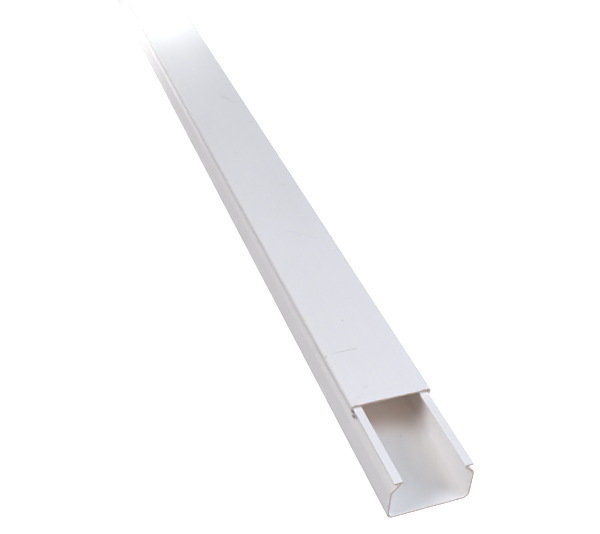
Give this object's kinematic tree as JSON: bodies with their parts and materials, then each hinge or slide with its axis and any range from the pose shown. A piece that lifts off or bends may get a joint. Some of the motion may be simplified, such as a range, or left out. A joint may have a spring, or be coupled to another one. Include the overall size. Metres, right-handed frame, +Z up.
{
  "type": "cord cover raceway",
  "caption": "Straight plastic raceway: a channel that lies on its flat back, and a flat clip-on cover whose hooks grip the channel's lips and can slide along them.",
  "frame": {"origin": "centre of the base channel's flat back face, midway along its length", "axes": "+X along the extrusion, away from the open near end; +Y across it; +Z up, from the back face towards the cover"},
  "size_m": [2.045, 0.04, 0.025],
  "materials": {
    "base_channel": "smooth satin white",
    "snap_cover": "smooth satin white"
  },
  "bodies": {
    "base": {"base_channel": "base_channel"},
    "cover": {"snap_cover": "snap_cover"}
  },
  "joints": [
    {"name": "cover_slide", "type": "slide", "parent": "base", "child": "cover", "axis": [1, 0, 0], "range_m": [-0.045, 1.855]}
  ]
}
